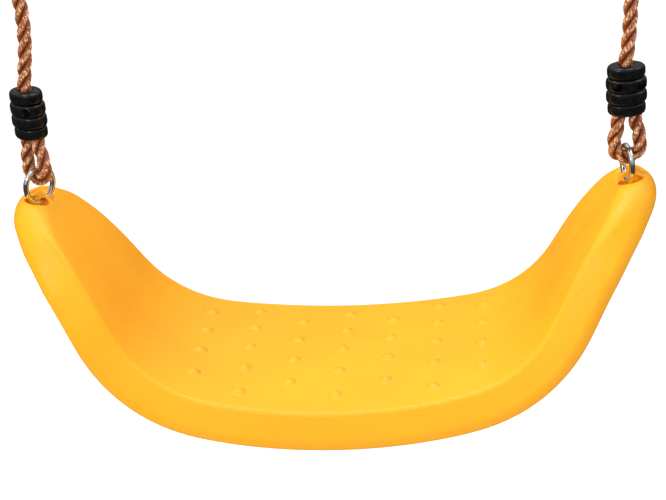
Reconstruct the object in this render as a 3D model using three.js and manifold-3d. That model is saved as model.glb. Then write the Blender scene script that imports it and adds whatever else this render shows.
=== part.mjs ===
// A child's swing: a curved moulded seat hung on two ropes.
// Millimetres, +Z up, +X along the width of the seat to the right seen from the front, -Y to its front edge.
// The origin is midway between the two hanging rings, at the height where their hooks bear.

import * as THREE from 'three';
import { mergeVertices } from 'three/addons/utils/BufferGeometryUtils.js';
import Module from 'manifold-3d';

const wasm = await Module();
wasm.setup();

// ---------------------------------------------------------------- driving dimensions

const SEAT = {
  flatCurvature: 1 / 488, // gentle dip under the sitter
  bendCurvature: 1 / 85, // the knee where each wing turns up
  wingCurvature: -1 / 409, // each wing leans slightly back out
  bendStart: 88.4, // arc length from the middle
  bendEnd: 165.7,
  bendFade: 18, // half the arc over which one curvature turns into the next
  halfLength: 256, // arc length from the middle to the straight end of the rim
  midHalfWidth: 83,
  tipHalfWidth: 33,
  taperPower: 2.3,
  cornerRadius: 25.5,
  endBulge: 12.4, // how far the end stands out beyond halfLength
  thickness: 27,
  lowerRun: 12.3, // how far the lower edge stands out beyond the rim
  rimRadius: 4,
  lowerRadius: 8,
  tipThickness: 28,
  tipRadius: 12.9, // edge radius at the tips, almost half the thickness
  tipStart: 0.8, // shares of the length between which the edge becomes fully round
  tipEnd: 1.02,
  crown: 5.2, // fall of the top from its middle line to the rim
};

const NUB = { radius: 4, height: 2.2, sunk: 1.5, pitchX: 33.4, pitchY: 30.6, columns: [4, 5, 4, 5, 4, 5, 4] };

const SEAT_RING = { wire: 2, mean: 12, x: 202.5, z: 135.45, turn: [54, -77], segments: 28 };
const HANGING_RING = { wire: 2.5, mean: 17.5, segments: 32 };
const WIRE_SIDES = 8;

// At each tip two bowls leave a strap of the end between them, and a slot under the strap takes the ring.
// Rises are measured from the bottom of the ring's middle line.
const EYE = {
  strap: 4,
  bowl: { x: 11.6, y: 16.5, z: 9, rise: 6 },
  slot: { halfLength: 5.6, radius: 2.9, outward: 0.7 },
};

const ROPE = { radius: 5, free: 100 };

const CLAMP = {
  bottom: 171.3, // height of the lower clamp's lower face above the middle of the seat
  height: 34.5,
  halfWidth: 13.75,
  halfDepth: 11,
  ribs: 4,
  crest: [0.3, 0.7], // the crest of a rib, as shares of its pitch
  grooveWidth: 0.6,
  grooveDepth: 2,
  endDepth: 3.2, // how far the end faces stand back from the end ribs
  endRibInset: 0.9,
  seam: 0.15, // each half stops this far from the joint plane
};

const SCREW = {
  across: 7.9,
  height: 21.6,
  shank: 1.3,
  head: 2.6,
  headHeight: 1.9,
  seat: 5,
  tip: 5.5,
  point: 1.2,
};

const GAP = 0.35; // clearance between pieces that touch

// How finely the curved surfaces are divided.
const STEPS = {
  outline: [14, 6, 2], // along each side, round each corner and across each half end
  edge: 4,
  nub: 7,
  bowl: [24, 14],
  slot: 8,
  ropeSides: 10,
  ropeLength: 92,
  clamp: 14,
  tunnel: 7,
  bore: 8,
  screw: 10,
};

// Half a rope's route, from its tail in the clamp round the loop to where it leaves the clamp again.
// Each point is [distance across the loop, height above the clamp's lower face].
const LOOP_ROUTE = [
  [-5.25, 11], [-5.25, 4], [-5.4, -1], [-6.7, -9], [-8.3, -16], [-8.9, -22], [-6.8, -28.2], [0, -31.3],
  [6.8, -28.2], [8.9, -22], [8.3, -16], [6.7, -9], [5.4, -1], [5.25, 4], [4.6, 9.5], [2.2, 15], [0.2, 20],
  [0, 26], [0, 38],
];
// The free stretch between the clamps wanders a little: [sideways, share of the free length].
const WANDER = {
  left: [[1.9, 0.15], [4.3, 0.3], [5.6, 0.5], [4.8, 0.68], [1.8, 0.85]],
  right: [[1.3, 0.12], [2.7, 0.27], [3.7, 0.47], [2.9, 0.68], [1.1, 0.85]],
};
// The way through a clamp, as [height, left leg, right leg]: two ropes wide below, narrowing to one above.
const TUNNEL = [
  [-2, -5.25, 5.25], [8, -5.25, 5.1], [11.6, -5.2, 4.6], [14, -1, 3.4], [17, 0, 1.6], [20.5, 0, 0.2],
  [26, 0, 0], [36.5, 0, 0],
];

// ---------------------------------------------------------------- colours

const YELLOW = { color: 0xffb92b, roughness: 0.5, metalness: 0 };
const ROPE_BROWN = { color: 0xb9683a, roughness: 0.75, metalness: 0 };
const BLACK = { color: 0x141414, roughness: 0.3, metalness: 0 };
const CHROME = { color: 0xc9cbd0, roughness: 0.15, metalness: 1 };
const DARK_STEEL = { color: 0x38383a, roughness: 0.4, metalness: 1 };

const material = (finish) => new THREE.MeshStandardMaterial(finish);

// ---------------------------------------------------------------- solids

const manifoldOf = (geometry) => {
  const bare = geometry.clone();
  bare.deleteAttribute('normal');
  bare.deleteAttribute('uv');
  const merged = mergeVertices(bare, 1e-4);
  const corners = merged.index.array;
  const triVerts = [];
  for (let i = 0; i < corners.length; i += 3) {
    const [a, b, c] = corners.slice(i, i + 3);
    if (a !== b && b !== c && c !== a) triVerts.push(a, b, c);
  }
  return new wasm.Manifold(new wasm.Mesh({
    numProp: 3,
    vertProperties: merged.attributes.position.array,
    triVerts: new Uint32Array(triVerts),
  }));
};

const geometryOf = (manifold) => {
  const mesh = manifold.getMesh();
  const geometry = new THREE.BufferGeometry();
  geometry.setAttribute('position', new THREE.BufferAttribute(mesh.vertProperties, 3));
  geometry.setIndex(new THREE.BufferAttribute(mesh.triVerts, 1));
  geometry.computeVertexNormals();
  return geometry;
};

// A surface through rings of points, each ring as long as the next.
const loft = (rings) => {
  const sides = rings[0].length;
  const positions = rings.flat().flatMap((p) => [p.x, p.y, p.z]);
  const index = [];
  for (let k = 0; k < rings.length - 1; k++) {
    for (let i = 0; i < sides; i++) {
      const a = k * sides + i;
      const b = k * sides + (i + 1) % sides;
      index.push(a, b, b + sides, a, b + sides, a + sides);
    }
  }
  const geometry = new THREE.BufferGeometry();
  geometry.setAttribute('position', new THREE.Float32BufferAttribute(positions, 3));
  geometry.setIndex(index);
  return geometry;
};

const smooth = (t) => {
  const c = Math.min(Math.max(t, 0), 1);
  return c * c * (3 - 2 * c);
};

// ---------------------------------------------------------------- seat

// The middle line of the top: a curve whose curvature changes smoothly along its length.
const SPINE_STEPS = 800;
const spineLength = SEAT.halfLength + SEAT.endBulge + SEAT.lowerRun;
const spine = [{ x: 0, z: 0, angle: 0 }];
for (let i = 0; i < SPINE_STEPS; i++) {
  const step = spineLength / SPINE_STEPS;
  const at = (i + 0.5) * step;
  const rise = smooth((at - SEAT.bendStart + SEAT.bendFade) / (2 * SEAT.bendFade));
  const fall = smooth((at - SEAT.bendEnd + SEAT.bendFade) / (2 * SEAT.bendFade));
  const bent = SEAT.flatCurvature + (SEAT.bendCurvature - SEAT.flatCurvature) * rise;
  const curvature = bent + (SEAT.wingCurvature - bent) * fall;
  const { x, z, angle } = spine[i];
  const middle = angle + curvature * step / 2;
  spine.push({
    x: x + Math.cos(middle) * step,
    z: z + Math.sin(middle) * step,
    angle: angle + curvature * step,
  });
}

// Bends a point of the flat seat: s along the length, y across it, h up from the top.
const bendPoint = (s, y, h) => {
  const at = Math.min(Math.abs(s), spineLength) / spineLength * SPINE_STEPS;
  const low = Math.min(Math.floor(at), SPINE_STEPS - 1);
  const t = at - low;
  const [a, b] = [spine[low], spine[low + 1]];
  const angle = a.angle + (b.angle - a.angle) * t;
  const lift = h - SEAT.crown * (y / SEAT.midHalfWidth) ** 2;
  const x = a.x + (b.x - a.x) * t - Math.sin(angle) * lift;
  const z = a.z + (b.z - a.z) * t + Math.cos(angle) * lift;
  return new THREE.Vector3(Math.sign(s) * x, y, z);
};

// One quarter of the rim's outline, from the middle of the back edge to the middle of the end.
const rimQuarter = (sideSteps, cornerSteps, endSteps) => {
  const { halfLength, midHalfWidth, tipHalfWidth, taperPower, cornerRadius, endBulge } = SEAT;
  const points = [];
  const straight = halfLength - cornerRadius;
  for (let i = 0; i <= sideSteps; i++) {
    const s = straight * i / sideSteps;
    const taper = 1 - (s / halfLength) ** taperPower;
    points.push([s, tipHalfWidth + (midHalfWidth - tipHalfWidth) * taper]);
  }
  const centre = points.at(-1)[1] - cornerRadius;
  for (let i = 1; i <= cornerSteps; i++) {
    const angle = Math.PI / 2 * (1 - i / cornerSteps);
    points.push([straight + cornerRadius * Math.cos(angle), centre + cornerRadius * Math.sin(angle)]);
  }
  for (let i = 1; i <= endSteps; i++) points.push([halfLength, centre * (1 - i / endSteps)]);
  const bulgeRun = 1.5 * cornerRadius;
  return points.map(([s, y]) => {
    const near = smooth((s - halfLength + bulgeRun) / bulgeRun);
    return [s + endBulge * Math.max(1 - (y / tipHalfWidth) ** 2, 0) * near, y];
  });
};

const rimOutline = (...steps) => {
  const quarter = rimQuarter(...steps);
  const back = [...quarter].reverse().slice(1);
  const right = [...quarter, ...back.map(([s, y]) => [s, -y])];
  const left = [...right].reverse().slice(1, -1).map(([s, y]) => [-s, y]);
  return [...right, ...left];
};

// The rounded corner at c between the directions to a and b.
const roundedCorner = (a, c, b, radius, steps) => {
  const u = a.clone().sub(c).normalize();
  const v = b.clone().sub(c).normalize();
  const half = Math.acos(u.dot(v)) / 2;
  const middle = u.clone().add(v).normalize();
  const centre = c.clone().addScaledVector(middle, radius / Math.sin(half));
  const start = c.clone().addScaledVector(u, radius / Math.tan(half)).sub(centre);
  const turn = (2 * half - Math.PI) * Math.sign(u.cross(v));
  return Array.from({ length: steps }, (_, i) => {
    const angle = turn * i / (steps - 1);
    return start.clone().rotateAround(new THREE.Vector2(), angle).add(centre);
  });
};

// The seat's edge, as distances out from the rim and heights, from the top surface to the bottom one.
const edgeSection = (tip, steps) => {
  const mix = (a, b) => a + (b - a) * tip;
  const thickness = mix(SEAT.thickness, SEAT.tipThickness);
  const rimRadius = mix(SEAT.rimRadius, SEAT.tipRadius);
  const lowerRadius = mix(SEAT.lowerRadius, SEAT.tipRadius);
  const inside = -SEAT.midHalfWidth;
  const top = new THREE.Vector2(0, 0);
  const low = new THREE.Vector2(SEAT.lowerRun * (1 - tip), -thickness);
  const upper = roundedCorner(new THREE.Vector2(inside, 0), top, low, rimRadius, steps);
  const lower = roundedCorner(top, low, new THREE.Vector2(inside, -thickness), lowerRadius, steps);
  return [...upper, ...lower];
};

const seatShell = () => {
  const outline = rimOutline(...STEPS.outline);
  const count = outline.length;
  const edge = outline.map(([s, y], i) => {
    const [s0, y0] = outline.at(i - 1);
    const [s1, y1] = outline[(i + 1) % count];
    const normal = new THREE.Vector2(y0 - y1, s1 - s0).normalize();
    const share = Math.abs(s) / SEAT.halfLength;
    const tip = smooth((share - SEAT.tipStart) / (SEAT.tipEnd - SEAT.tipStart));
    const section = edgeSection(tip, STEPS.edge);
    return section.map((p) => ({ s: s + normal.x * p.x, y: y + normal.y * p.x, h: p.y }));
  });
  // Towards the middle the rings shrink onto one line along the seat, which closes the surface.
  const core = SEAT.halfLength - SEAT.tipHalfWidth;
  const inward = ({ s, y, h }, share) => {
    const target = Math.max(-core, Math.min(core, s));
    return bendPoint(s + (target - s) * share, y * (1 - share), h);
  };
  const ring = (pick, share) => edge.map((section) => inward(pick(section), share));
  const first = (section) => section[0];
  const last = (section) => section.at(-1);
  const rings = [ring(first, 1), ring(first, 0.66), ring(first, 0.33)];
  for (let k = 0; k < edge[0].length; k++) rings.push(ring((section) => section[k], 0));
  rings.push(ring(last, 0.5), ring(last, 1));
  return loft(rings);
};

const nub = () => {
  const { radius, height, sunk } = NUB;
  const profile = [[0, -sunk], [radius, -sunk], [radius * 0.8, height * 0.6], [0, height]];
  const shape = new THREE.LatheGeometry(profile.map(([x, y]) => new THREE.Vector2(x, y)), STEPS.nub);
  return shape.rotateX(Math.PI / 2);
};

const eyeCutters = (side) => {
  const { strap, bowl, slot } = EYE;
  const place = (geometry) =>
    manifoldOf(geometry.translate(side * SEAT_RING.x, 0, SEAT_RING.z - SEAT_RING.mean));
  const room = 4 * bowl.y;
  const halfBowl = (way) => {
    const beyond = new THREE.BoxGeometry(room, room, room).translate(0, way * (room + strap) / 2, 0);
    const hollow = new THREE.SphereGeometry(1, ...STEPS.bowl)
      .scale(bowl.x, bowl.y, bowl.z)
      .translate(0, 0, bowl.rise);
    return place(hollow).intersect(place(beyond));
  };
  const flat = slot.halfLength - slot.radius;
  const outline = new THREE.Shape()
    .absarc(flat, 0, slot.radius, -Math.PI / 2, Math.PI / 2)
    .absarc(-flat, 0, slot.radius, Math.PI / 2, 1.5 * Math.PI);
  const depth = 2 * strap;
  const hole = new THREE.ExtrudeGeometry(outline, { depth, bevelEnabled: false, curveSegments: STEPS.slot })
    .translate(side * slot.outward, 0, -depth / 2)
    .rotateX(Math.PI / 2);
  return [halfBowl(-1), halfBowl(1), place(hole)];
};

const seatGeometry = () => {
  let seat = manifoldOf(seatShell());
  NUB.columns.forEach((rows, column) => {
    for (let row = 0; row < rows; row++) {
      const s = (column - (NUB.columns.length - 1) / 2) * NUB.pitchX;
      const y = (row - (rows - 1) / 2) * NUB.pitchY;
      const spot = bendPoint(s, y, 0);
      seat = seat.add(manifoldOf(nub().translate(spot.x, spot.y, spot.z)));
    }
  });
  for (const side of [-1, 1]) for (const cutter of eyeCutters(side)) seat = seat.subtract(cutter);
  return geometryOf(seat);
};

// ---------------------------------------------------------------- rings

// A wire ring in the XZ plane.
const ringGeometry = ({ wire, mean, segments }) => {
  const profile = Array.from({ length: WIRE_SIDES + 1 }, (_, i) => {
    const angle = 2 * Math.PI * i / WIRE_SIDES;
    return new THREE.Vector2(mean + wire * Math.cos(angle), wire * Math.sin(angle));
  });
  return new THREE.LatheGeometry(profile, segments);
};

// ---------------------------------------------------------------- ropes

const freeStart = CLAMP.bottom + CLAMP.height;
const upperClampTop = freeStart + ROPE.free + CLAMP.height;

const ropeRoute = (side, lowerTurn, upperTurn, wander) => {
  const place = (across, height, turn) => new THREE.Vector3(
    side * SEAT_RING.x + across * Math.cos(turn),
    across * Math.sin(turn),
    height,
  );
  const lower = LOOP_ROUTE.map(([across, height]) => place(across, CLAMP.bottom + height, lowerTurn));
  const free = wander.map(([x, share]) => place(x, freeStart + share * ROPE.free, 0));
  const upper = LOOP_ROUTE.map(([across, height]) => place(across, upperClampTop - height, upperTurn));
  return [...lower, ...free, ...upper.reverse()];
};

const ropeGeometry = (route) => {
  const circle = new THREE.Shape();
  for (let i = 0; i < STEPS.ropeSides; i++) {
    const angle = 2 * Math.PI * i / STEPS.ropeSides;
    const [x, y] = [ROPE.radius * Math.cos(angle), ROPE.radius * Math.sin(angle)];
    if (i === 0) circle.moveTo(x, y);
    else circle.lineTo(x, y);
  }
  circle.closePath();
  const path = new THREE.CatmullRomCurve3(route, false, 'centripetal');
  return new THREE.ExtrudeGeometry(circle, {
    steps: STEPS.ropeLength,
    extrudePath: path,
    bevelEnabled: false,
  });
};

// ---------------------------------------------------------------- clamps

// The clamp stands on z = 0 with its two rope legs side by side along x.
const clampBlank = () => {
  const { height, halfWidth, halfDepth, ribs, crest, endRibInset } = CLAMP;
  const { grooveWidth, grooveDepth, endDepth } = CLAMP;
  const pitch = height / ribs;
  const profile = [[0, 0]];
  for (let i = 0; i < ribs; i++) {
    const [first, last] = [i === 0, i === ribs - 1];
    const radius = halfWidth - (first || last ? endRibInset : 0);
    const base = i * pitch;
    profile.push(
      [radius - (first ? endDepth : grooveDepth), base],
      ...crest.map((share) => [radius, base + share * pitch]),
      [radius - (last ? endDepth : grooveDepth), base + pitch - (last ? 0 : grooveWidth)],
    );
  }
  profile.push([0, height]);
  const points = profile.map(([x, y]) => new THREE.Vector2(x, y));
  const flattening = halfDepth / halfWidth;
  return new THREE.LatheGeometry(points, STEPS.clamp).rotateX(Math.PI / 2).scale(1, flattening, 1);
};

const clampTunnel = () => {
  const radius = ROPE.radius + GAP;
  const section = ([height, left, right]) => {
    const ends = [[left, 1], [right, -1]];
    return ends.flatMap(([centre, way]) => Array.from({ length: STEPS.tunnel + 1 }, (_, i) => {
      const angle = Math.PI * i / STEPS.tunnel;
      const [x, y] = [centre - way * radius * Math.sin(angle), way * radius * Math.cos(angle)];
      return new THREE.Vector3(x, y, height);
    }));
  };
  // A ring shrunk to a point closes each end.
  const sections = TUNNEL.map(section);
  const point = (ring) => ring.map(({ z }) => new THREE.Vector3(0, 0, z));
  return loft([point(sections[0]), ...sections, point(sections.at(-1))]);
};

// A cylinder along Y that starts well outside the front of the clamp.
const bore = (radius, end, across) => {
  const start = -2 * CLAMP.halfDepth;
  return new THREE.CylinderGeometry(radius, radius, end - start, STEPS.bore)
    .translate(across, (start + end) / 2, SCREW.height);
};

const clampHalf = (face) => {
  const { height, halfWidth, seam } = CLAMP;
  const room = 4 * halfWidth;
  const slab = new THREE.BoxGeometry(room, room, room).translate(0, face * (room / 2 + seam), height / 2);
  let half = manifoldOf(clampBlank()).intersect(manifoldOf(slab)).subtract(manifoldOf(clampTunnel()));
  for (const across of [-SCREW.across, SCREW.across]) {
    half = half.subtract(manifoldOf(bore(SCREW.shank + GAP, SCREW.tip + GAP, across)));
    half = half.subtract(manifoldOf(bore(SCREW.head + GAP, -SCREW.seat, across)));
  }
  return geometryOf(half);
};

const screwGeometry = () => {
  const { shank, head, headHeight, seat, tip, point } = SCREW;
  const under = seat + GAP;
  const top = under + headHeight;
  const profile = [[0, -tip], [shank * 0.4, -tip], [shank, point - tip], [shank, under], [head, under],
    [head, under + headHeight * 0.6], [head * 0.75, top], [0, top]];
  const points = profile.map(([x, y]) => new THREE.Vector2(x, y));
  return new THREE.LatheGeometry(points, STEPS.screw).rotateX(Math.PI);
};

// ---------------------------------------------------------------- assembly

const named = (name, geometry, finish) => {
  const mesh = new THREE.Mesh(geometry, material(finish));
  mesh.name = name;
  return mesh;
};

const clampGroup = (prefix) => {
  const group = new THREE.Group();
  group.add(named(`${prefix}_clamp_front`, clampHalf(-1), BLACK));
  group.add(named(`${prefix}_clamp_back`, clampHalf(1), BLACK));
  [-1, 1].forEach((side, i) => {
    const screw = named(`${prefix}_clamp_screw_${i + 1}`, screwGeometry(), DARK_STEEL);
    screw.position.set(side * SCREW.across, 0, SCREW.height);
    group.add(screw);
  });
  return group;
};

const swing = new THREE.Group();
swing.add(named('seat', seatGeometry(), YELLOW));

// The hanging rings bear on the ropes from above, as the ropes bear on the seat rings.
const loopDrop = -Math.min(...LOOP_ROUTE.map(([, height]) => height));
const hangingCentre = upperClampTop + loopDrop - ROPE.radius - GAP - HANGING_RING.wire + HANGING_RING.mean;

[['left', -1], ['right', 1]].forEach(([name, side], i) => {
  const ringTurn = THREE.MathUtils.degToRad(SEAT_RING.turn[i]);
  const loopTurn = ringTurn + side * Math.PI / 2;
  const upperTurn = Math.PI / 2;

  const seatRing = named(`${name}_seat_ring`, ringGeometry(SEAT_RING), CHROME);
  seatRing.position.set(side * SEAT_RING.x, 0, SEAT_RING.z);
  seatRing.rotation.z = ringTurn;
  swing.add(seatRing);

  const hangingRing = named(`${name}_hanging_ring`, ringGeometry(HANGING_RING), CHROME);
  hangingRing.position.set(side * SEAT_RING.x, 0, hangingCentre);
  swing.add(hangingRing);

  const route = ropeRoute(side, loopTurn, upperTurn, WANDER[name]);
  swing.add(named(`${name}_rope`, ropeGeometry(route), ROPE_BROWN));

  const lower = clampGroup(`${name}_lower`);
  lower.position.set(side * SEAT_RING.x, 0, CLAMP.bottom);
  lower.rotation.z = loopTurn;
  const upper = clampGroup(`${name}_upper`);
  upper.position.set(side * SEAT_RING.x, 0, upperClampTop);
  upper.rotation.set(Math.PI, 0, upperTurn, 'ZXY');
  swing.add(lower, upper);
});

swing.position.z = -(hangingCentre + HANGING_RING.mean - HANGING_RING.wire);

const model = new THREE.Group();
model.add(swing);

export default model;
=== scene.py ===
"""A child's curved swing seat on two twisted ropes, built around its CAD frame. Metres, +Z up."""

import math

import bmesh
import bpy
import numpy as np
from mathutils import Matrix, Vector


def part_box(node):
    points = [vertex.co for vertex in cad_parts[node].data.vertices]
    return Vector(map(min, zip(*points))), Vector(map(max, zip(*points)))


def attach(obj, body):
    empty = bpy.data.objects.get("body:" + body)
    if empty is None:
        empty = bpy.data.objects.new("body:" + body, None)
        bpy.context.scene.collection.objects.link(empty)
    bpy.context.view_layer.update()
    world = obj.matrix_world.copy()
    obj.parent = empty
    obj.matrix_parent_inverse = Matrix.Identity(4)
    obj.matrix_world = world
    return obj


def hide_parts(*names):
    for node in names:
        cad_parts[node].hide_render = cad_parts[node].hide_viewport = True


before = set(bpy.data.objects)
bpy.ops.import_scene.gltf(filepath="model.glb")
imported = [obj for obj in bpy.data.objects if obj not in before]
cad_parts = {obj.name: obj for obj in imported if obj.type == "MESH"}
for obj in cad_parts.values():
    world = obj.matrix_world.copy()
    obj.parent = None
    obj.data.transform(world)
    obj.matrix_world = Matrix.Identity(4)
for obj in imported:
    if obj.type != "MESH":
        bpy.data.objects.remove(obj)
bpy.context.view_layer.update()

SIDES = {"left": -1, "right": 1}


def node_centre(name):
    low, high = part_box(name)
    return (low + high) / 2


# ------------------------------------------------------------------ places taken from the frame

RING_CENTRE = {name: node_centre(f"{name}_seat_ring") for name in SIDES}
HANGING_CENTRE = {name: node_centre(f"{name}_hanging_ring") for name in SIDES}
LOWER_CLAMP_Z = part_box("left_lower_clamp_front")[0].z
UPPER_CLAMP_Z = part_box("left_upper_clamp_front")[1].z
SEAT_DROP = 0.13545  # from the seat rings' centres down to the middle of the sitting surface
SEAT_TOP_Z = RING_CENTRE["left"].z - SEAT_DROP

# ------------------------------------------------------------------ driving dimensions

FLAT_CURVATURE = 1 / 0.488
BEND_CURVATURE = 1 / 0.085
WING_CURVATURE = -1 / 0.409
BEND_START, BEND_END, BEND_FADE = 0.0884, 0.1657, 0.018
HALF_LENGTH = 0.256
MID_HALF_WIDTH, TIP_HALF_WIDTH, TAPER_POWER = 0.083, 0.033, 2.3
CORNER_RADIUS, END_BULGE = 0.0255, 0.0124
THICKNESS, TIP_THICKNESS, TIP_RADIUS = 0.027, 0.028, 0.0129
TIP_START, TIP_END = 0.8, 1.02
LOWER_RUN, RIM_RADIUS, LOWER_RADIUS = 0.0123, 0.004, 0.008
CROWN = 0.0052

NUB_RADIUS, NUB_HEIGHT, NUB_SINK = 0.0054, 0.0023, 0.00004
NUB_TOP_POWER, NUB_FOOT_POWER = 2.4, 1.7
NUB_PITCH_X, NUB_PITCH_Y = 0.0334, 0.0306
NUB_COLUMNS = (4, 5, 4, 5, 4, 5, 4)

RING_WIRE, RING_MEAN = 0.002, 0.012
RING_TURN = {"left": math.radians(54), "right": math.radians(-77)}
HANGING_WIRE, HANGING_MEAN = 0.0025, 0.0175
WELD_AT, WELD_SPREAD, WELD_SWELL = math.radians(160), 0.07, 0.05

ROPE_DIAMETER = 0.010
ROPE_LAY = 0.035
ROPE_FREE = 0.1

CLAMP_HEIGHT, CLAMP_HALF_WIDTH, CLAMP_HALF_DEPTH, CLAMP_RIBS = 0.0345, 0.01375, 0.011, 4
SCREW_ACROSS, SCREW_HEIGHT = 0.0079, 0.0216

# ------------------------------------------------------------------ camera

TARGET = Vector((-0.00097, 0, SEAT_TOP_Z + 0.07831))
DISTANCE, LENS, SENSOR_WIDTH = 1.29492, 100.393, 36
AZIMUTH, ELEVATION, ROLL = math.radians(7.052), math.radians(24.377), math.radians(4.748)


def make_camera():
    data = bpy.data.cameras.new("camera")
    data.sensor_width = SENSOR_WIDTH
    data.lens = LENS
    camera = bpy.data.objects.new("camera", data)
    bpy.context.scene.collection.objects.link(camera)
    back = Vector((math.sin(AZIMUTH) * math.cos(ELEVATION), -math.cos(AZIMUTH) * math.cos(ELEVATION),
                   math.sin(ELEVATION)))
    level = Vector((math.cos(AZIMUTH), math.sin(AZIMUTH), 0))
    up = back.cross(level)
    right = level * math.cos(ROLL) - up * math.sin(ROLL)
    up = back.cross(right)
    turned = Matrix((right, up, back)).transposed().to_4x4()
    camera.matrix_world = Matrix.Translation(TARGET + back * DISTANCE) @ turned
    bpy.context.scene.camera = camera


# ------------------------------------------------------------------ mesh helpers

MERGE_DISTANCE = 1e-6


def mesh_object(name, points, faces, depth=None):
    """A smooth piece with its normals out, and a depth for each point where one is given."""
    data = bpy.data.meshes.new(name)
    data.from_pydata([tuple(p) for p in points], [], [tuple(f) for f in faces])
    if depth is not None:
        data.attributes.new("depth", "FLOAT", "POINT").data.foreach_set("value", depth)
    data.validate()
    piece = bpy.data.objects.new(name, data)
    bpy.context.scene.collection.objects.link(piece)
    bm = bmesh.new()
    bm.from_mesh(data)
    bmesh.ops.remove_doubles(bm, verts=bm.verts, dist=MERGE_DISTANCE)
    bmesh.ops.recalc_face_normals(bm, faces=bm.faces)
    bm.to_mesh(data)
    bm.free()
    data.shade_smooth()
    return piece


def grid_faces(rows, columns, wrap_rows=False, start=0):
    """Quads between rows of points, each row a closed loop."""
    faces = []
    for r in range(rows if wrap_rows else rows - 1):
        for c in range(columns):
            a, b = r * columns + c, r * columns + (c + 1) % columns
            d = (r + 1) % rows * columns
            faces.append((start + a, start + b, start + d + (c + 1) % columns, start + d + c))
    return faces


def lathe(name, profile, segments):
    """A solid of revolution about Z from (radius, height) points that start and end on the axis."""
    angles = np.arange(segments) * 2 * math.pi / segments
    points = [(r * math.cos(a), r * math.sin(a), z) for r, z in profile for a in angles]
    return mesh_object(name, points, grid_faces(len(profile), segments))


def cut(piece, tool, operation="DIFFERENCE"):
    modifier = piece.modifiers.new("cut", "BOOLEAN")
    modifier.operation = operation
    modifier.solver = "EXACT"
    modifier.object = tool
    apply_modifiers(piece)
    bpy.data.objects.remove(tool)


def apply_modifiers(piece):
    graph = bpy.context.evaluated_depsgraph_get()
    data = bpy.data.meshes.new_from_object(piece.evaluated_get(graph))
    piece.modifiers.clear()
    piece.data = data


def placed(source, name, matrix):
    piece = bpy.data.objects.new(name, source.data.copy())
    piece.data.transform(matrix)
    bpy.context.scene.collection.objects.link(piece)
    return piece


def sharp_above(piece, degrees):
    piece.data.set_sharp_from_angle(angle=math.radians(degrees))


# ------------------------------------------------------------------ material helpers

def principled(name, color, roughness, metallic=0.0):
    material = bpy.data.materials.new(name)
    material.use_nodes = True
    shader = material.node_tree.nodes["Principled BSDF"]
    shader.inputs["Base Color"].default_value = (*color, 1)
    shader.inputs["Roughness"].default_value = roughness
    shader.inputs["Metallic"].default_value = metallic
    return material, material.node_tree, shader


def add_node(tree, kind, **values):
    node = tree.nodes.new(kind)
    for key, value in values.items():
        if key in node.inputs:
            node.inputs[key].default_value = value
        else:
            setattr(node, key, value)
    return node


def noise(tree, scale, detail=4.0, roughness=0.5):
    place = tree.nodes.get("Texture Coordinate") or tree.nodes.new("ShaderNodeTexCoord")
    node = add_node(tree, "ShaderNodeTexNoise", Scale=scale, Detail=detail, Roughness=roughness)
    tree.links.new(place.outputs["Object"], node.inputs["Vector"])
    return node


def ramp(tree, source, stops):
    """A colour ramp over (position, colour or grey) stops."""
    node = tree.nodes.new("ShaderNodeValToRGB")
    while len(node.color_ramp.elements) < len(stops):
        node.color_ramp.elements.new(0.5)
    for element, (position, value) in zip(node.color_ramp.elements, stops):
        element.position = position
        element.color = (*value, 1) if hasattr(value, "__len__") else (value, value, value, 1)
    tree.links.new(source, node.inputs["Fac"])
    return node.outputs["Color"]


def map_range(tree, from_min, from_max, to_min, to_max):
    node = tree.nodes.new("ShaderNodeMapRange")
    limits = {"From Min": from_min, "From Max": from_max, "To Min": to_min, "To Max": to_max}
    for key, value in limits.items():
        node.inputs[key].default_value = value
    return node


def bump(tree, shader, height, strength, distance, below=None):
    node = add_node(tree, "ShaderNodeBump", Strength=strength, Distance=distance)
    tree.links.new(height, node.inputs["Height"])
    if below:
        tree.links.new(below.outputs["Normal"], node.inputs["Normal"])
    tree.links.new(node.outputs["Normal"], shader.inputs["Normal"])
    return node


# ------------------------------------------------------------------ materials

def seat_plastic():
    material, tree, shader = principled("seat_plastic", (0.9, 0.385, 0.002), 0.34)
    tint = noise(tree, scale=18, detail=3)
    yellows = [(0.3, (0.89, 0.37, 0.002)), (0.7, (0.91, 0.395, 0.003))]
    tree.links.new(ramp(tree, tint.outputs["Fac"], yellows), shader.inputs["Base Color"])
    wear = noise(tree, scale=60, detail=5)
    tree.links.new(ramp(tree, wear.outputs["Fac"], [(0.3, 0.29), (0.7, 0.39)]), shader.inputs["Roughness"])
    shader.inputs["Specular IOR Level"].default_value = 0.42
    pebble = noise(tree, scale=950, detail=2)
    grain = bump(tree, shader, pebble.outputs["Fac"], strength=0.5, distance=0.0006)
    flow = noise(tree, scale=35, detail=2)
    bump(tree, shader, flow.outputs["Fac"], strength=0.12, distance=0.002, below=grain)
    return material


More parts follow.
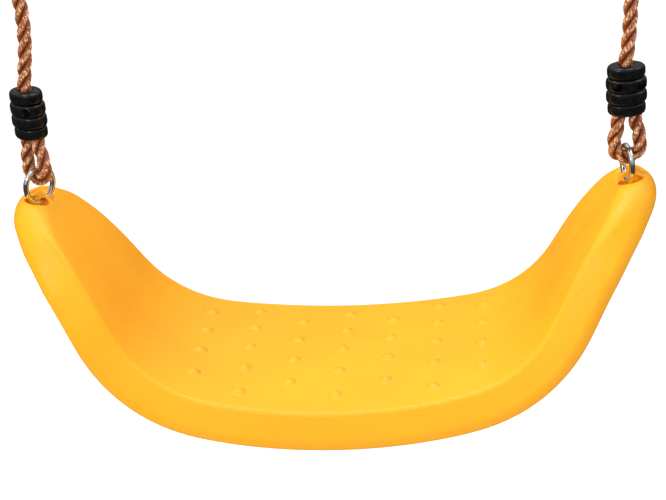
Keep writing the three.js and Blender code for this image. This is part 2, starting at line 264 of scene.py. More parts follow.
def rope_fibre():
    """Copper-brown fibre with painted shade in the grooves between the strands and yarns and a painted peach
    highlight on their crests.
    """
    depth_weight, patch_weight = 0.72, 0.28
    material, tree, shader = principled("rope_fibre", (0.3, 0.1, 0.03), 0.38)
    depth = add_node(tree, "ShaderNodeAttribute", attribute_name="depth")
    shade = noise(tree, scale=450, detail=6, roughness=0.7)
    patch = map_range(tree, 0.35, 0.65, -patch_weight, patch_weight)
    tree.links.new(shade.outputs["Fac"], patch.inputs["Value"])
    lift = add_node(tree, "ShaderNodeMath", operation="MULTIPLY_ADD")
    lift.inputs[1].default_value = depth_weight
    tree.links.new(depth.outputs["Fac"], lift.inputs[0])
    tree.links.new(patch.outputs["Result"], lift.inputs[2])
    # Ramp from painted groove shade (dark brown) through copper up to a painted peach highlight on the
    # crests.
    painted_groove_shade_and_crest_highlight = [(0.1, (0.17, 0.034, 0.004)), (0.46, (0.27, 0.068, 0.012)), (0.62, (0.5, 0.175, 0.058)),
               (0.8, (1.0, 0.6, 0.36))]
    tree.links.new(ramp(tree, lift.outputs["Value"], painted_groove_shade_and_crest_highlight), shader.inputs["Base Color"])
    fibres = noise(tree, scale=2100, detail=4, roughness=0.6)
    bump(tree, shader, fibres.outputs["Fac"], strength=0.6, distance=0.0005)
    shader.inputs["Specular IOR Level"].default_value = 0.7
    return material


def clamp_plastic():
    material, tree, shader = principled("clamp_plastic", (0.004, 0.004, 0.0042), 0.2)
    scuff = noise(tree, scale=240, detail=5)
    tree.links.new(ramp(tree, scuff.outputs["Fac"], [(0.35, 0.15), (0.7, 0.3)]), shader.inputs["Roughness"])
    blacks = [(0.4, 0.003), (0.75, 0.007)]
    tree.links.new(ramp(tree, scuff.outputs["Fac"], blacks), shader.inputs["Base Color"])
    bump(tree, shader, noise(tree, scale=500, detail=3).outputs["Fac"], strength=0.15, distance=0.0003)
    shader.inputs["Specular IOR Level"].default_value = 0.3
    return material


def ring_chrome():
    material, tree, shader = principled("ring_chrome", (0.86, 0.86, 0.88), 0.1, 1.0)
    polish = noise(tree, scale=300, detail=4)
    tree.links.new(ramp(tree, polish.outputs["Fac"], [(0.35, 0.06), (0.75, 0.2)]), shader.inputs["Roughness"])
    silvers = [(0.3, (0.78, 0.78, 0.8)), (0.7, (0.9, 0.9, 0.92))]
    tree.links.new(ramp(tree, polish.outputs["Fac"], silvers), shader.inputs["Base Color"])
    return material


def screw_black():
    material, tree, shader = principled("screw_black", (0.05, 0.05, 0.052), 0.35, 1.0)
    brushed = noise(tree, scale=900, detail=3)
    tree.links.new(ramp(tree, brushed.outputs["Fac"], [(0.3, 0.26), (0.7, 0.45)]), shader.inputs["Roughness"])
    steels = [(0.3, (0.04, 0.04, 0.042)), (0.7, (0.08, 0.08, 0.083))]
    tree.links.new(ramp(tree, brushed.outputs["Fac"], steels), shader.inputs["Base Color"])
    bump(tree, shader, brushed.outputs["Fac"], strength=0.2, distance=0.0002)
    return material


def finish_piece(piece, material, slot, body, *nodes):
    """Gives a piece its material and its body, and hides the CAD nodes that it replaces. The slot is not
    used.
    """
    piece.data.materials.clear()
    piece.data.materials.append(material)
    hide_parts(*nodes)
    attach(piece, body)
    return piece


# ------------------------------------------------------------------ ropes

# The route through a clamp and round its loop: (distance across the loop, height above the clamp's loop end).
LOOP_ROUTE = [
    (-0.00525, 0.011), (-0.00525, 0.004), (-0.0054, -0.001), (-0.0067, -0.009), (-0.0083, -0.016),
    (-0.0089, -0.022), (-0.0068, -0.0282), (0, -0.0313), (0.0068, -0.0282), (0.0089, -0.022),
    (0.0083, -0.016), (0.0067, -0.009), (0.0054, -0.001), (0.00525, 0.004), (0.0046, 0.0095),
    (0.0022, 0.015), (0.0002, 0.02), (0, 0.026), (0, 0.038),
]
# The free stretch between the clamps wanders a little: (sideways, share of the free length).
WANDER = {
    "left": [(0.0019, 0.15), (0.0043, 0.3), (0.0056, 0.5), (0.0048, 0.68), (0.0018, 0.85)],
    "right": [(0.0013, 0.12), (0.0027, 0.27), (0.0037, 0.47), (0.0029, 0.68), (0.0011, 0.85)],
}
LOOP_TURN = {"left": RING_TURN["left"] - math.pi / 2, "right": RING_TURN["right"] + math.pi / 2}
UPPER_TURN = math.pi / 2
CURVE_STEPS = 24


def rope_route(name):
    x = RING_CENTRE[name].x

    def place(across, height, turn):
        return Vector((x + across * math.cos(turn), across * math.sin(turn), height))

    lower = [place(a, LOWER_CLAMP_Z + h, LOOP_TURN[name]) for a, h in LOOP_ROUTE]
    upper = [place(a, UPPER_CLAMP_Z - h, UPPER_TURN) for a, h in LOOP_ROUTE]
    free_start = LOWER_CLAMP_Z + CLAMP_HEIGHT
    free = [place(sideways, free_start + share * ROPE_FREE, 0) for sideways, share in WANDER[name]]
    return lower + free + upper[::-1]


def smooth_curve(points, step):
    """Points a step apart on a centripetal Catmull-Rom curve through the given ones."""
    ends = [2 * points[0] - points[1], *points, 2 * points[-1] - points[-2]]
    found = []
    for p0, p1, p2, p3 in zip(ends, ends[1:], ends[2:], ends[3:]):
        t1 = (p1 - p0).length ** 0.5
        t2 = t1 + (p2 - p1).length ** 0.5
        t3 = t2 + (p3 - p2).length ** 0.5
        for i in range(CURVE_STEPS):
            t = t1 + (t2 - t1) * i / CURVE_STEPS
            a1 = p0 * (t1 - t) / t1 + p1 * t / t1
            a2 = p1 * (t2 - t) / (t2 - t1) + p2 * (t - t1) / (t2 - t1)
            a3 = p2 * (t3 - t) / (t3 - t2) + p3 * (t - t2) / (t3 - t2)
            b1 = a1 * (t2 - t) / t2 + a2 * t / t2
            b2 = a2 * (t3 - t) / (t3 - t1) + a3 * (t - t1) / (t3 - t1)
            found.append(b1 * (t2 - t) / (t2 - t1) + b2 * (t - t1) / (t2 - t1))
    found.append(points[-1])
    dense = np.array(found)
    arc = np.concatenate([[0], np.cumsum(np.linalg.norm(np.diff(dense, axis=0), axis=1))])
    at = np.linspace(0, arc[-1], int(arc[-1] / step) + 1)
    return np.stack([np.interp(at, arc, dense[:, i]) for i in range(3)], 1), at


def moving_frames(line):
    """Two steady normals at each point of a line."""
    tangent = np.gradient(line, axis=0)
    tangent /= np.linalg.norm(tangent, axis=1)[:, None]
    any_other_way = (0.3, 0.9, 0.2)
    first = np.cross(tangent[0], any_other_way)
    normals = [first / np.linalg.norm(first)]
    for t in tangent[1:]:
        n = normals[-1] - t * (normals[-1] @ t)
        normals.append(n / np.linalg.norm(n))
    normal = np.array(normals)
    return normal, np.cross(tangent, normal)


STRANDS, STRAND_RADIUS, STRAND_OFFSET = 3, 0.0024, 0.0026
YARNS, YARN_DEPTH, YARN_TURNS = 6, 0.15, 2.2
STRAND_SIDES, ROPE_STEP = 54, 0.0009
GROOVE_REACH, YARN_GROOVE, END_DEPTH = 0.55, 0.45, 0.3


def make_rope(name, material):
    """Three twisted strands of twisted yarns, each point marked with how far it stands out of the grooves."""
    line, arc = smooth_curve(rope_route(name), ROPE_STEP)
    normal, binormal = moving_frames(line)
    around = np.arange(STRAND_SIDES) * 2 * math.pi / STRAND_SIDES
    points, faces, depth = [], [], []
    for strand in range(STRANDS):
        turn = 2 * math.pi * (strand / STRANDS + arc / ROPE_LAY)
        middle = line + STRAND_OFFSET * (np.cos(turn)[:, None] * normal + np.sin(turn)[:, None] * binormal)
        n, b = moving_frames(middle)
        twist = YARN_TURNS * 2 * math.pi * arc[:, None] / ROPE_LAY
        yarn = np.abs(np.cos(YARNS / 2 * (around + twist)))
        radius = STRAND_RADIUS * (1 - YARN_DEPTH + YARN_DEPTH * np.sqrt(yarn))
        rings = (middle[:, None] + radius[..., None] * (np.cos(around)[None, :, None] * n[:, None]
                                                        + np.sin(around)[None, :, None] * b[:, None]))
        reach = np.linalg.norm(rings - line[:, None], axis=2) / (STRAND_OFFSET + STRAND_RADIUS)
        raised = np.clip((reach - GROOVE_REACH) / (1 - GROOVE_REACH), 0, 1)
        depth.append(raised * (1 - YARN_GROOVE + YARN_GROOVE * np.sqrt(yarn)))
        start = len(points)
        points += list(rings.reshape(-1, 3))
        faces += grid_faces(len(line), STRAND_SIDES, start=start)
        for row in (0, len(line) - 1):
            points.append(middle[row])
            first = start + row * STRAND_SIDES
            faces += [(first + i, first + (i + 1) % STRAND_SIDES, len(points) - 1)
                      for i in range(STRAND_SIDES)]
    # These marks set the rope's painted groove shade and painted crest highlight.
    marks = np.concatenate([np.append(d.ravel(), [END_DEPTH, END_DEPTH]) for d in depth])
    rope = mesh_object(f"{name}_twisted_rope", points, faces, marks)
    finish_piece(rope, material, "rope", f"{name}_rope", f"{name}_rope")
    return rope, line, arc[-1]


# ------------------------------------------------------------------ seat

def smooth(t):
    t = np.clip(t, 0, 1)
    return t * t * (3 - 2 * t)


SPINE_LENGTH = HALF_LENGTH + END_BULGE + LOWER_RUN
SPINE_STEPS = 2400
SIDE_STEPS, CORNER_STEPS, END_STEPS, EDGE_STEPS = 105, 50, 14, 12
TOP_RINGS, BOTTOM_RINGS = 40, 24
OUTLINE_PASSES = 110


def make_spine():
    """The seat's middle line from its centre to past a tip: (distance along it, x, z, slope) arrays."""
    at = (np.arange(SPINE_STEPS) + 0.5) / SPINE_STEPS * SPINE_LENGTH
    rise = smooth((at - BEND_START + BEND_FADE) / (2 * BEND_FADE))
    fall = smooth((at - BEND_END + BEND_FADE) / (2 * BEND_FADE))
    bent = FLAT_CURVATURE + (BEND_CURVATURE - FLAT_CURVATURE) * rise
    curvature = bent + (WING_CURVATURE - bent) * fall
    step = SPINE_LENGTH / SPINE_STEPS
    angle = np.concatenate([[0], np.cumsum(curvature)]) * step
    middle = (angle[1:] + angle[:-1]) / 2
    x = np.concatenate([[0], np.cumsum(np.cos(middle))]) * step
    z = np.concatenate([[0], np.cumsum(np.sin(middle))]) * step
    return np.linspace(0, SPINE_LENGTH, SPINE_STEPS + 1), x, z, angle


SPINE = make_spine()


def bend(s, y, h):
    """Bends points of the flat seat: s along it, y across it, h up from the top."""
    at, x, z, angle = SPINE
    far = np.minimum(np.abs(s), SPINE_LENGTH)
    px, pz, turn = (np.interp(far, at, values) for values in (x, z, angle))
    lift = h - CROWN * (y / MID_HALF_WIDTH) ** 2
    side = np.where(s < 0, -1, 1)
    return np.stack([side * (px - np.sin(turn) * lift), y, SEAT_TOP_Z + pz + np.cos(turn) * lift], -1)


def rim_outline():
    """The rim of the flat seat, once round clockwise from the middle of the back, with its corners eased."""
    straight = HALF_LENGTH - CORNER_RADIUS
    s = np.linspace(0, straight, SIDE_STEPS)
    y = TIP_HALF_WIDTH + (MID_HALF_WIDTH - TIP_HALF_WIDTH) * (1 - (s / HALF_LENGTH) ** TAPER_POWER)
    centre = y[-1] - CORNER_RADIUS
    angle = np.linspace(math.pi / 2, 0, CORNER_STEPS + 1)[1:]
    s = np.concatenate([s, straight + CORNER_RADIUS * np.cos(angle), np.full(END_STEPS, HALF_LENGTH)])
    y = np.concatenate([y, centre + CORNER_RADIUS * np.sin(angle), np.linspace(centre, 0, END_STEPS + 1)[1:]])
    bulge_run = 1.5 * CORNER_RADIUS
    near = smooth((s - HALF_LENGTH + bulge_run) / bulge_run)
    s = s + END_BULGE * np.clip(1 - (y / TIP_HALF_WIDTH) ** 2, 0, 1) * near
    quarter = np.stack([s, y], 1)
    right = np.concatenate([quarter, quarter[-2::-1] * (1, -1)])
    outline = np.concatenate([right, right[-2:0:-1] * (-1, 1)])
    for _ in range(OUTLINE_PASSES):
        outline = (np.roll(outline, 1, 0) + 2 * outline + np.roll(outline, -1, 0)) / 4
    return outline


def rounded_corner(a, c, b, radius):
    """The rounded corner at c between the directions to a and b."""
    u, v = (a - c) / np.linalg.norm(a - c), (b - c) / np.linalg.norm(b - c)
    half = math.acos(u @ v) / 2
    centre = c + (u + v) / np.linalg.norm(u + v) * radius / math.sin(half)
    start = c + u * radius / math.tan(half) - centre
    turn = (2 * half - math.pi) * math.copysign(1, u[0] * v[1] - u[1] * v[0])
    angles = turn * np.linspace(0, 1, EDGE_STEPS)
    return centre + np.stack([start[0] * np.cos(angles) - start[1] * np.sin(angles),
                              start[0] * np.sin(angles) + start[1] * np.cos(angles)], 1)


def edge_section(tip):
    """The seat's edge as (distance out from the rim, height), from the top surface to the bottom one."""
    def mix(a, b):
        return a + (b - a) * tip
    thickness, inside = mix(THICKNESS, TIP_THICKNESS), -MID_HALF_WIDTH
    top, low = np.zeros(2), np.array([LOWER_RUN * (1 - tip), -thickness])
    upper = rounded_corner(np.array([inside, 0]), top, low, mix(RIM_RADIUS, TIP_RADIUS))
    lower = rounded_corner(top, low, np.array([inside, -thickness]), mix(LOWER_RADIUS, TIP_RADIUS))
    return np.concatenate([upper, lower])


def seat_shell():
    """The seat without its eyes: rings of points from the middle of the top, over the edge, to the bottom."""
    outline = rim_outline()
    along = np.roll(outline, -1, 0) - np.roll(outline, 1, 0)
    normal = np.stack([-along[:, 1], along[:, 0]], 1)
    normal /= np.linalg.norm(normal, axis=1)[:, None]
    normal *= np.sign((normal * outline).sum())
    tip = smooth((np.abs(outline[:, 0]) / HALF_LENGTH - TIP_START) / (TIP_END - TIP_START))
    sections = np.array([edge_section(t) for t in tip])
    s = outline[:, :1] + normal[:, :1] * sections[..., 0]
    y = outline[:, 1:] + normal[:, 1:] * sections[..., 0]
    h = sections[..., 1]
    core = HALF_LENGTH - TIP_HALF_WIDTH

    def ring(column, share):
        target = np.clip(s[:, column], -core, core)
        return bend(s[:, column] + (target - s[:, column]) * share, y[:, column] * (1 - share), h[:, column])

    top_rings = [ring(0, share) for share in np.linspace(1, 0, TOP_RINGS)]
    edge_rings = [ring(column, 0) for column in range(1, sections.shape[1] - 1)]
    bottom_rings = [ring(-1, share) for share in np.linspace(0, 1, BOTTOM_RINGS)]
    rings = top_rings + edge_rings + bottom_rings
    return mesh_object("moulded_seat", np.concatenate(rings), grid_faces(len(rings), len(outline)))


# At each tip two bowls leave a strap of the end between them, and a slot under the strap takes the ring.
EYE_STRAP = 0.004
BOWL_SIZE, BOWL_RISE = (0.0116, 0.0165, 0.009), 0.006
SLOT_HALF_LENGTH, SLOT_RADIUS, SLOT_OUTWARD = 0.0056, 0.0029, 0.0007
BOWL_ROWS, BOWL_COLUMNS, SLOT_ROWS, SLOT_ARC_POINTS = 26, 72, 13, 17


def half_bowl(name, way):
    """An ellipsoid's part beyond a plane across Y, closed on that plane."""
    a, b, c = BOWL_SIZE
    flat_at = EYE_STRAP / 2
    start = math.asin(flat_at / b)
    points = []
    for i in range(BOWL_ROWS + 1):
        angle = start + (math.pi / 2 - start) * i / BOWL_ROWS
        for j in range(BOWL_COLUMNS):
            turn = 2 * math.pi * j / BOWL_COLUMNS
            points.append((a * math.cos(angle) * math.cos(turn), way * b * math.sin(angle),
                           BOWL_RISE + c * math.cos(angle) * math.sin(turn)))
    points.append((0, way * flat_at, BOWL_RISE))
    faces = grid_faces(BOWL_ROWS + 1, BOWL_COLUMNS)
    faces += [(j, (j + 1) % BOWL_COLUMNS, len(points) - 1) for j in range(BOWL_COLUMNS)]
    return mesh_object(name, points, faces)


def slot_cutter(name, side):
    """The slot's round-ended opening, carried through the strap along Y."""
    flat = SLOT_HALF_LENGTH - SLOT_RADIUS
    angles = np.linspace(-math.pi / 2, math.pi / 2, SLOT_ARC_POINTS)
    ring = [(flat + SLOT_RADIUS * math.cos(a), SLOT_RADIUS * math.sin(a)) for a in angles]
    ring += [(-flat - SLOT_RADIUS * math.cos(a), -SLOT_RADIUS * math.sin(a)) for a in angles]
    middle = side * SLOT_OUTWARD
    points = [(middle + x, y, z) for y in np.linspace(-EYE_STRAP, EYE_STRAP, SLOT_ROWS) for x, z in ring]
    last = (SLOT_ROWS - 1) * len(ring)
    faces = grid_faces(SLOT_ROWS, len(ring))
    faces += [tuple(range(len(ring))), tuple(range(last, last + len(ring)))]
    return mesh_object(name, points, faces)


def eye_cutters(name):
    """Two bowls and a slot about the lowest point of the seat ring's middle line."""
    bottom = RING_CENTRE[name] - Vector((0, 0, RING_MEAN))
    cutters = [half_bowl("near_bowl", -1), half_bowl("far_bowl", 1), slot_cutter("slot", SIDES[name])]
    for cutter in cutters:
        cutter.data.transform(Matrix.Translation(bottom))
    return cutters


NUB_ROWS, NUB_SIDES = 10, 28


def add_nubs(seat):
    """Lays the nubs' domes on the sitting surface, in columns of four and five by turns."""
    points, faces = [], []
    radius = np.linspace(0, 1, NUB_ROWS)[:, None]
    turn = (np.arange(NUB_SIDES) * 2 * math.pi / NUB_SIDES)[None]
    height = NUB_HEIGHT * (1 - radius ** NUB_TOP_POWER) ** NUB_FOOT_POWER - NUB_SINK
    for column, count in enumerate(NUB_COLUMNS):
        for row in range(count):
            s0 = (column - (len(NUB_COLUMNS) - 1) / 2) * NUB_PITCH_X
            y0 = (row - (count - 1) / 2) * NUB_PITCH_Y
            s = s0 + NUB_RADIUS * radius * np.cos(turn)
            y = y0 + NUB_RADIUS * radius * np.sin(turn)
            dome = bend(s, y, height + 0 * turn)
            faces += grid_faces(NUB_ROWS, NUB_SIDES, start=len(points))
            points += list(dome.reshape(-1, 3))
    nubs = mesh_object("nubs", points, faces)
    bm = bmesh.new()
    bm.from_mesh(seat.data)
    bm.from_mesh(nubs.data)
    bm.to_mesh(seat.data)
    bm.free()
    bpy.data.objects.remove(nubs)


LIP_SLIVER, LIP_ANGLE, LIP_REACH, LIP_PASSES = 0.00012, 0.35, 0.0024, 24
SLOT_KEPT, EYE_REACH = 0.0075, 0.03


def soften_cuts(seat):
    """Rounds the eyes' lips but not the slots: points near a sharp edge settle between their neighbours."""
    bm = bmesh.new()
    bm.from_mesh(seat.data)
    bmesh.ops.remove_doubles(bm, verts=bm.verts, dist=LIP_SLIVER)
    slots = [RING_CENTRE[name] - Vector((0, 0, RING_MEAN)) for name in SIDES]

    def from_slot(v):
        return min((v.co - slot).length for slot in slots)

    sharp = {v for e in bm.edges if len(e.link_faces) == 2 and e.calc_face_angle_signed(0) > LIP_ANGLE
             for v in e.verts if SLOT_KEPT < from_slot(v) < EYE_REACH}
    near = set(sharp)
    front = set(sharp)
    while front:
        step = set()
        for v in front:
            for e in v.link_edges:
                other = e.other_vert(v)
                if (other not in near and from_slot(other) > SLOT_KEPT
                        and min((other.co - s.co).length for s in sharp) < LIP_REACH):
                    step.add(other)
        near |= step
        front = step
    for _ in range(LIP_PASSES):
        moved = {v: sum((e.other_vert(v).co for e in v.link_edges), Vector()) / len(v.link_edges)
                 for v in near}
        for v, place in moved.items():
            v.co = v.co.lerp(place, 0.5)
    bm.to_mesh(seat.data)
    bm.free()


def make_seat(material):
    seat = seat_shell()
    for name in SIDES:
        for cutter in eye_cutters(name):
            cut(seat, cutter)
    soften_cuts(seat)
    add_nubs(seat)
    seat.data.shade_smooth()
    sharp_above(seat, 50)
    return finish_piece(seat, material, "seat_plastic", "seat", "seat")


# ------------------------------------------------------------------ rings

RING_SEGMENTS, RING_SIDES = 128, 28


def ring_mesh(name, wire, mean):
    """A wire ring in the XZ plane, with the low bead of its weld."""
    points = []
    for i in range(RING_SEGMENTS):
        turn = 2 * math.pi * i / RING_SEGMENTS
        away = math.remainder(turn - WELD_AT, 2 * math.pi)
        radius = wire * (1 + WELD_SWELL * math.exp(-(away / WELD_SPREAD) ** 2))
        for j in range(RING_SIDES):
            angle = 2 * math.pi * j / RING_SIDES
            reach = mean + radius * math.cos(angle)
            points.append((reach * math.cos(turn), radius * math.sin(angle), reach * math.sin(turn)))
    return mesh_object(name, points, grid_faces(RING_SEGMENTS, RING_SIDES, wrap_rows=True))


def make_rings(material):
    for name in SIDES:
        ring = ring_mesh(f"{name}_seat_hoop", RING_WIRE, RING_MEAN)
        ring.data.transform(Matrix.Translation(RING_CENTRE[name]) @ Matrix.Rotation(RING_TURN[name], 4, "Z"))
        finish_piece(ring, material, "ring_steel", f"{name}_ring", f"{name}_seat_ring")
        hanger = ring_mesh(f"{name}_hanging_hoop", HANGING_WIRE, HANGING_MEAN)
        hanger.data.transform(Matrix.Translation(HANGING_CENTRE[name]))
        finish_piece(hanger, material, "ring_steel", "hangers", f"{name}_hanging_ring")


# ------------------------------------------------------------------ clamps

CLAMP_SEAM, CLEARANCE = 0.00015, 0.00035
TUNNEL_RADIUS = ROPE_DIAMETER / 2 + CLEARANCE
# The way through the clamp: (height, left leg, right leg).
TUNNEL = [
    (-0.002, -0.00525, 0.00525), (0.008, -0.00525, 0.0051), (0.0116, -0.0052, 0.0046),
    (0.014, -0.001, 0.0034), (0.017, 0, 0.0016), (0.0205, 0, 0.0002), (0.026, 0, 0), (0.0365, 0, 0),
]
TUNNEL_ARC_STEPS = 16
RIB_POINTS, RIB_SHARE, RIB_DROP = 15, 0.485, 0.0021
END_RIB_INSET, END_DROP = 0.0009, 0.0034


def clamp_profile():
    """The ribs as (radius, height): rounded bands with a narrow groove between each two."""
    pitch = CLAMP_HEIGHT / CLAMP_RIBS
    profile = [(0, 0)]
    for rib in range(CLAMP_RIBS):
        outermost = rib in (0, CLAMP_RIBS - 1)
        crest = CLAMP_HALF_WIDTH - (END_RIB_INSET if outermost else 0)
        for i in range(RIB_POINTS):
            t = i / (RIB_POINTS - 1) * 2 - 1
            at_end = (rib == 0 and t < 0) or (rib == CLAMP_RIBS - 1 and t > 0)
            drop = END_DROP if at_end else RIB_DROP
            height = (rib + 0.5 + t * RIB_SHARE) * pitch
            profile.append((crest - drop * (1 - math.sqrt(max(1 - abs(t) ** 3, 0))), height))
    profile[1] = (profile[1][0], 0)
    profile[-1] = (profile[-1][0], CLAMP_HEIGHT)
    profile.append((0, CLAMP_HEIGHT))
    return profile


def tunnel_cutter():
    """The rope's way through a clamp: one outline round both legs at each height."""
    points = []
    for height, left, right in TUNNEL:
        for centre, way in ((left, 1), (right, -1)):
            for i in range(TUNNEL_ARC_STEPS + 1):
                angle = math.pi * i / TUNNEL_ARC_STEPS
                points.append((centre - way * TUNNEL_RADIUS * math.sin(angle),
                               way * TUNNEL_RADIUS * math.cos(angle), height))
    ring = 2 * (TUNNEL_ARC_STEPS + 1)
    faces = grid_faces(len(TUNNEL), ring)
    faces += [tuple(range(ring)), tuple(range(len(points) - ring, len(points)))]
    return mesh_object("tunnel", points, faces)


ROD_SIDES = 32


def rod(name, radius, start, end, across, height):
    """A closed rod along Y."""
    points = []
    for y in (start, end):
        for i in range(ROD_SIDES):
            turn = 2 * math.pi * i / ROD_SIDES
            points.append((across + radius * math.cos(turn), y, height + radius * math.sin(turn)))
    faces = grid_faces(2, ROD_SIDES) + [tuple(range(ROD_SIDES)), tuple(range(ROD_SIDES, 2 * ROD_SIDES))]
    return mesh_object(name, points, faces)


def block(name, low, high):
    """A box between two corners."""
    points = [(x, y, z) for x in (low[0], high[0]) for y in (low[1], high[1]) for z in (low[2], high[2])]
    faces = [(0, 1, 3, 2), (4, 6, 7, 5), (0, 4, 5, 1), (2, 3, 7, 6), (0, 2, 6, 4), (1, 5, 7, 3)]
    return mesh_object(name, points, faces)


SCREW_SHANK, SCREW_TIP, SCREW_POINT = 0.0013, 0.0055, 0.0005
SCREW_HEAD, SCREW_HEAD_HEIGHT, SCREW_SEAT = 0.0026, 0.0019, 0.005
HEAD_FLAT, HEAD_RIM, HEAD_STEPS, SCREW_SIDES = 0.0008, 0.0005, 8, 40
THREADS, THREAD_ROOT, THREAD_START, THREAD_MARGINS = 9, 0.00098, 0.0008, 0.0012
DRIVE_HALF_LENGTH, DRIVE_HALF_WIDTH, DRIVE_DEPTH = 0.0015, 0.00032, 0.001
SCREW_TURN = 0.7
CLAMP_SIDES, CLAMP_EDGE, CLAMP_EDGE_STEPS = 96, 0.0003, 2
SLAB_HALF_WIDTH, SLAB_DEPTH, SLAB_MARGIN = 0.03, 0.04, 0.01
HOLE_MOUTH = -0.015


def clamp_half(face):
    """The front (-1) or back (1) half of an upright clamp, with its tunnel and its screw holes."""
    half = lathe("clamp", clamp_profile(), CLAMP_SIDES)
    half.data.transform(Matrix.Diagonal((1, CLAMP_HALF_DEPTH / CLAMP_HALF_WIDTH, 1, 1)))
    near, far = sorted((face * CLAMP_SEAM, face * SLAB_DEPTH))
    slab = block("slab", (-SLAB_HALF_WIDTH, near, -SLAB_MARGIN),
                 (SLAB_HALF_WIDTH, far, CLAMP_HEIGHT + SLAB_MARGIN))
    cut(half, slab, "INTERSECT")
    cut(half, tunnel_cutter())
    shank, head, deepest = SCREW_SHANK + CLEARANCE, SCREW_HEAD + CLEARANCE, SCREW_TIP + CLEARANCE
    for across in (-SCREW_ACROSS, SCREW_ACROSS):
        cut(half, rod("hole", shank, HOLE_MOUTH, deepest, across, SCREW_HEIGHT))
        cut(half, rod("sink", head, HOLE_MOUTH, -SCREW_SEAT, across, SCREW_HEIGHT))
    bevel = half.modifiers.new("soft_edges", "BEVEL")
    bevel.width, bevel.segments = CLAMP_EDGE, CLAMP_EDGE_STEPS
    bevel.limit_method, bevel.angle_limit = "ANGLE", math.radians(50)
    bevel.use_clamp_overlap = True
    apply_modifiers(half)
    half.data.shade_smooth()
    sharp_above(half, 40)
    return half


def screw_shape():
    """A threaded screw with a domed head and a cross slot, along Y with its head to the front."""
    under = SCREW_SEAT + CLEARANCE
    top = under + SCREW_HEAD_HEIGHT
    profile = [(0, -SCREW_TIP), (SCREW_POINT, -SCREW_TIP)]
    turns = THREADS * 2
    threaded = under + SCREW_TIP - THREAD_MARGINS
    for i in range(turns):
        radius = SCREW_SHANK if i % 2 else THREAD_ROOT
        profile.append((radius, -SCREW_TIP + THREAD_START + threaded * i / (turns - 1)))
    profile += [(SCREW_SHANK, under), (SCREW_HEAD, under)]
    for i in range(HEAD_STEPS + 1):
        angle = math.pi / 2 * i / HEAD_STEPS
        profile.append((HEAD_FLAT + (SCREW_HEAD - HEAD_FLAT) * math.cos(angle),
                        under + HEAD_RIM + (SCREW_HEAD_HEIGHT - HEAD_RIM) * math.sin(angle)))
    profile.append((0, top))
    screw = lathe("screw", profile, SCREW_SIDES)
    for wide, deep in ((DRIVE_HALF_LENGTH, DRIVE_HALF_WIDTH), (DRIVE_HALF_WIDTH, DRIVE_HALF_LENGTH)):
        cut(screw, block("drive", (-wide, -deep, top - DRIVE_DEPTH), (wide, deep, top + DRIVE_DEPTH)))
    screw.data.transform(Matrix.Rotation(math.pi / 2, 4, "X"))
    screw.data.shade_smooth()
    sharp_above(screw, 35)
    return screw


def make_clamps(plastic, steel):
    """Four clamps of two halves and two screws; returns each rope's pieces."""
    halves = {"front": clamp_half(-1), "back": clamp_half(1)}
    screw = screw_shape()
    found = {name: [] for name in SIDES}
    for name in SIDES:
        x = RING_CENTRE[name].x
        places = {
            "lower": Matrix.Translation((x, 0, LOWER_CLAMP_Z)) @ Matrix.Rotation(LOOP_TURN[name], 4, "Z"),
            "upper": (Matrix.Translation((x, 0, UPPER_CLAMP_Z)) @ Matrix.Rotation(UPPER_TURN, 4, "Z")
                      @ Matrix.Rotation(math.pi, 4, "X")),
        }
        for level, place in places.items():
            for half, source in halves.items():
                node = f"{name}_{level}_clamp_{half}"
                piece = placed(source, f"{node}_shell", place)
                found[name].append(finish_piece(piece, plastic, "clamp_plastic", f"{name}_rope", node))
            for number, across in enumerate((-SCREW_ACROSS, SCREW_ACROSS), 1):
                node = f"{name}_{level}_clamp_screw_{number}"
                hole = place @ Matrix.Translation((across, 0, SCREW_HEIGHT))
                turn = Matrix.Rotation(SCREW_TURN * number, 4, "Y")
                piece = placed(screw, f"{node}_body", hole @ turn)
                found[name].append(finish_piece(piece, steel, "screw_steel", f"{name}_rope", node))
    for source in (*halves.values(), screw):
        bpy.data.objects.remove(source)
    return found


# ------------------------------------------------------------------ stage

FLOOR_DROP, FLOOR_HALF = 0.45, 6
WORLD_STRENGTH = 0.8


def make_stage():
    level = SEAT_TOP_Z - FLOOR_DROP
    corners = [(x * FLOOR_HALF, y * FLOOR_HALF, level) for x, y in ((-1, -1), (1, -1), (1, 1), (-1, 1))]
    floor = mesh_object("floor", corners, [(0, 1, 2, 3)])
    material, tree, shader = principled("floor_paper", (0.95, 0.95, 0.95), 0.9)
    mottle = noise(tree, scale=3, detail=2)
    whites = [(0.3, (0.94, 0.94, 0.94)), (0.7, (0.96, 0.96, 0.96))]
    tree.links.new(ramp(tree, mottle.outputs["Fac"], whites), shader.inputs["Base Color"])
    floor.data.materials.append(material)
    floor.visible_glossy = False


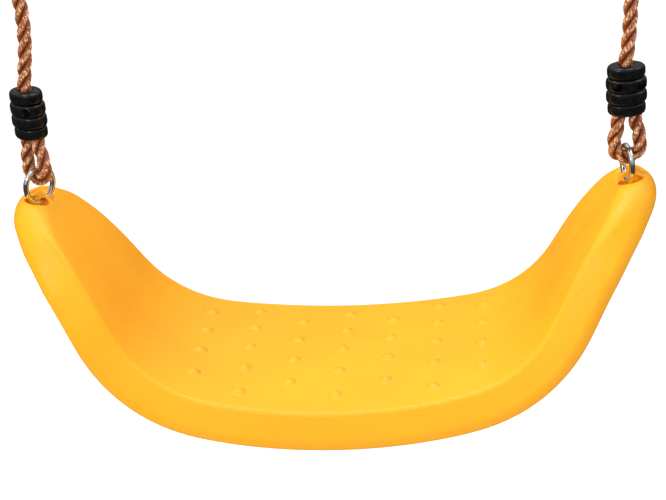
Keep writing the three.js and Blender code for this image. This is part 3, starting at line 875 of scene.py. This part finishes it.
def make_world():
    """An even white surround, which reflections see as a room with a bright ceiling and dark walls."""
    world = bpy.data.worlds.new("studio")
    world.use_nodes = True
    tree = world.node_tree
    background = tree.nodes["Background"]
    background.inputs["Color"].default_value = (1, 1, 1, 1)
    place = tree.nodes.new("ShaderNodeTexCoord")
    direction = tree.nodes.new("ShaderNodeSeparateXYZ")
    tree.links.new(place.outputs["Generated"], direction.inputs["Vector"])
    room = map_range(tree, 0.05, 0.75, 0.06, 0.8)
    tree.links.new(direction.outputs["Z"], room.inputs["Value"])
    ray = tree.nodes.new("ShaderNodeLightPath")
    strength = map_range(tree, 0, 1, WORLD_STRENGTH, 1)
    tree.links.new(ray.outputs["Is Glossy Ray"], strength.inputs["Value"])
    tree.links.new(room.outputs["Result"], strength.inputs["To Max"])
    seen = add_node(tree, "ShaderNodeMath", operation="MAXIMUM")
    tree.links.new(ray.outputs["Is Camera Ray"], seen.inputs[0])
    tree.links.new(strength.outputs["Result"], seen.inputs[1])
    tree.links.new(seen.outputs["Value"], background.inputs["Strength"])
    bpy.context.scene.world = world


def sun_light(direction, strength, spread):
    """A broad light from a direction, spread in degrees, that reflections don't show."""
    data = bpy.data.lights.new("sun", "SUN")
    data.energy, data.angle = strength, math.radians(spread)
    lamp = bpy.data.objects.new("sun", data)
    bpy.context.scene.collection.objects.link(lamp)
    lamp.visible_glossy = False
    lamp.rotation_euler = (-Vector(direction)).to_track_quat("-Z", "Y").to_euler()


def area_light(name, place, wide, deep, power):
    """A rectangular lamp that faces the seat."""
    data = bpy.data.lights.new(name, "AREA")
    data.shape, data.size, data.size_y, data.energy = "RECTANGLE", wide, deep, power
    lamp = bpy.data.objects.new(name, data)
    bpy.context.scene.collection.objects.link(lamp)
    lamp.location = place
    lamp.rotation_euler = (TARGET - Vector(place)).to_track_quat("-Z", "Y").to_euler()


make_camera()
rope_material, seat_material, clamp_material = rope_fibre(), seat_plastic(), clamp_plastic()
ring_material, screw_material = ring_chrome(), screw_black()
clamp_pieces = make_clamps(clamp_material, screw_material)
make_rings(ring_material)
for rope_name in SIDES:
    rope_piece, rope_line, rope_length = make_rope(rope_name, rope_material)
make_seat(seat_material)
make_stage()
make_world()
sun_light(direction=(-0.95, -0.3, 1.1), strength=1.4, spread=35)
area_light("key", place=(-0.7, -1.2, 0.8), wide=0.2, deep=0.2, power=5.5)
area_light("fill", place=(1.1, 0.2, 0.8), wide=0.5, deep=0.5, power=2.5)
area_light("strip", place=(0, 0.1, 1.0), wide=1.4, deep=0.1, power=9)
bpy.context.scene.view_settings.view_transform = "Standard"
